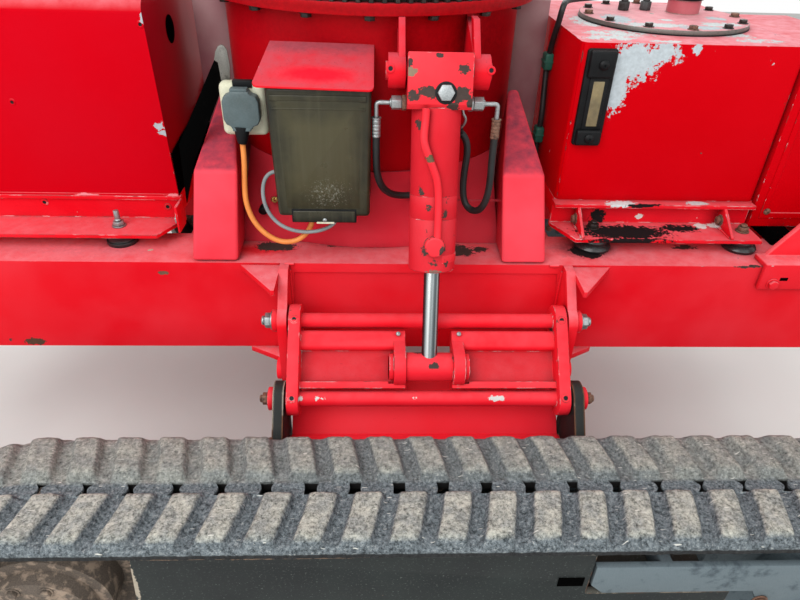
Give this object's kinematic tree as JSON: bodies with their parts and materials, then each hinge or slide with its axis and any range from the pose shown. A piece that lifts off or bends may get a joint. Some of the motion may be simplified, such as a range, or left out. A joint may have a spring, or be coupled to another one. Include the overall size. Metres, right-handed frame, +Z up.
{
  "type": "spider lift undercarriage",
  "caption": "Tracked undercarriage of a spider lift: red box chassis with slewing ring pedestal, tank and covers, and two rubber track units on swing linkages with lift cylinders.",
  "frame": {"origin": "on the ground under the slewing axis, midway between the tracks", "axes": "+X along the tracks towards the idlers, +Y across the machine away from the control box side, +Z up along the slewing axis"},
  "size_m": [2.16, 1.73, 1.142],
  "materials": {
    "red_paint": "worn vivid red paint with dust, chips and primer patches",
    "bright_red_paint": "brighter, cleaner red paint",
    "black_paint": "black paint with dust speckles and rust on its edges",
    "greasy_steel": "machined steel under dark grease",
    "bare_steel": "plated steel fittings",
    "chrome": "hard chrome rod",
    "track_rubber": "worn black rubber, tan dust on the lugs",
    "muddy_steel": "cast steel under brown mud and rust",
    "fork_steel": "blue-grey worn paint",
    "mount_rubber": "black rubber",
    "engine_iron": "dark cast iron",
    "smoked_plastic": "smoked olive-grey moulded cover",
    "gauge_plastic": "black bezel round a sight window",
    "ivory_plastic": "aged ivory plastic",
    "plug_plastic": "grey plastic with a black nose",
    "guard_sheet": "black sheet",
    "orange_jacket": "orange cable jacket",
    "grey_jacket": "grey cable jacket",
    "hose_rubber": "black hydraulic hose"
  },
  "bodies": {
    "chassis": {"chassis_beams": "red_paint", "end_brackets": "red_paint", "cross_members": "red_paint", "pivot_ears": "red_paint", "pedestal": "red_paint", "slewing_ring_outer": "greasy_steel", "tank": "red_paint", "tank_lid": "red_paint", "level_gauge": "gauge_plastic", "support_rails": "red_paint", "cross_rails": "red_paint", "rubber_mounts": "mount_rubber", "left_cover": "red_paint", "engine_block": "engine_iron", "side_box": "red_paint", "guard_plate": "guard_sheet", "control_box": "smoked_plastic", "control_hood": "red_paint", "socket": "ivory_plastic", "plug": "plug_plastic", "orange_cable": "orange_jacket", "grey_cable": "grey_jacket"},
    "turret_ring": {"slewing_ring_inner": "greasy_steel"},
    "swing_arm_near": {"swing_arm_near": "red_paint"},
    "lower_link_near": {"lower_link_near": "bright_red_paint"},
    "lift_barrel_near": {"cylinder_barrel_near": "red_paint", "hose_fittings_near": "bare_steel", "hose_left_near": "hose_rubber", "hose_right_near": "hose_rubber"},
    "lift_rod_near": {"cylinder_rod_near": "chrome"},
    "track_unit_near": {"track_frame_near": "black_paint", "track_ears_near": "black_paint", "track_near": "track_rubber", "drive_sprocket_near": "muddy_steel", "idler_near": "fork_steel", "rollers_near": "muddy_steel"},
    "swing_arm_far": {"swing_arm_far": "red_paint"},
    "lower_link_far": {"lower_link_far": "bright_red_paint"},
    "lift_barrel_far": {"cylinder_barrel_far": "red_paint", "hose_fittings_far": "bare_steel", "hose_left_far": "hose_rubber", "hose_right_far": "hose_rubber"},
    "lift_rod_far": {"cylinder_rod_far": "chrome"},
    "track_unit_far": {"track_frame_far": "black_paint", "track_ears_far": "black_paint", "track_far": "track_rubber", "drive_sprocket_far": "muddy_steel", "idler_far": "fork_steel", "rollers_far": "muddy_steel"}
  },
  "joints": [
    {"name": "slew", "type": "hinge", "parent": "chassis", "child": "turret_ring", "pos_m": [0, 0, 1.08], "axis": [0, 0, 1], "range_deg": [-180, 180]},
    {"name": "swing_near", "type": "hinge", "parent": "chassis", "child": "swing_arm_near", "pos_m": [0.111, -0.44, 0.533], "axis": [1, 0, 0], "range_deg": [-28, 14]},
    {"name": "track_level_near", "type": "hinge", "parent": "swing_arm_near", "child": "track_unit_near", "pos_m": [0.111, -0.545, 0.427], "axis": [1, 0, 0], "range_deg": [-14, 28]},
    {"name": "link_near", "type": "hinge", "parent": "chassis", "child": "lower_link_near", "pos_m": [0.111, -0.44, 0.413], "axis": [1, 0, 0], "range_deg": [-28, 14]},
    {"name": "barrel_near", "type": "hinge", "parent": "chassis", "child": "lift_barrel_near", "pos_m": [0.111, -0.365, 0.985], "axis": [1, 0, 0], "range_deg": [-3.51, 1.76]},
    {"name": "rod_near", "type": "slide", "parent": "lift_barrel_near", "child": "lift_rod_near", "axis": [0, -0.2847, -0.9586], "range_m": [-0.03113, 0.01567]},
    {"name": "swing_far", "type": "hinge", "parent": "chassis", "child": "swing_arm_far", "pos_m": [0.111, 0.44, 0.533], "axis": [-1, 0, 0], "range_deg": [-28, 14]},
    {"name": "track_level_far", "type": "hinge", "parent": "swing_arm_far", "child": "track_unit_far", "pos_m": [0.111, 0.545, 0.427], "axis": [-1, 0, 0], "range_deg": [-14, 28]},
    {"name": "link_far", "type": "hinge", "parent": "chassis", "child": "lower_link_far", "pos_m": [0.111, 0.44, 0.413], "axis": [-1, 0, 0], "range_deg": [-28, 14]},
    {"name": "barrel_far", "type": "hinge", "parent": "chassis", "child": "lift_barrel_far", "pos_m": [0.111, 0.365, 0.985], "axis": [-1, 0, 0], "range_deg": [-3.51, 1.76]},
    {"name": "rod_far", "type": "slide", "parent": "lift_barrel_far", "child": "lift_rod_far", "axis": [0, 0.2847, -0.9586], "range_m": [-0.03113, 0.01567]}
  ],
  "couplings": [
    {"joint": "track_level_near", "follows": "swing_near", "ratio": -1},
    {"joint": "link_near", "follows": "swing_near", "ratio": 1},
    {"joint": "barrel_near", "follows": "swing_near", "ratio": 0.125},
    {"joint": "rod_near", "follows": "swing_near", "m_per_rad": 0.0633},
    {"joint": "track_level_far", "follows": "swing_far", "ratio": -1},
    {"joint": "link_far", "follows": "swing_far", "ratio": 1},
    {"joint": "barrel_far", "follows": "swing_far", "ratio": 0.125},
    {"joint": "rod_far", "follows": "swing_far", "m_per_rad": 0.0633}
  ]
}
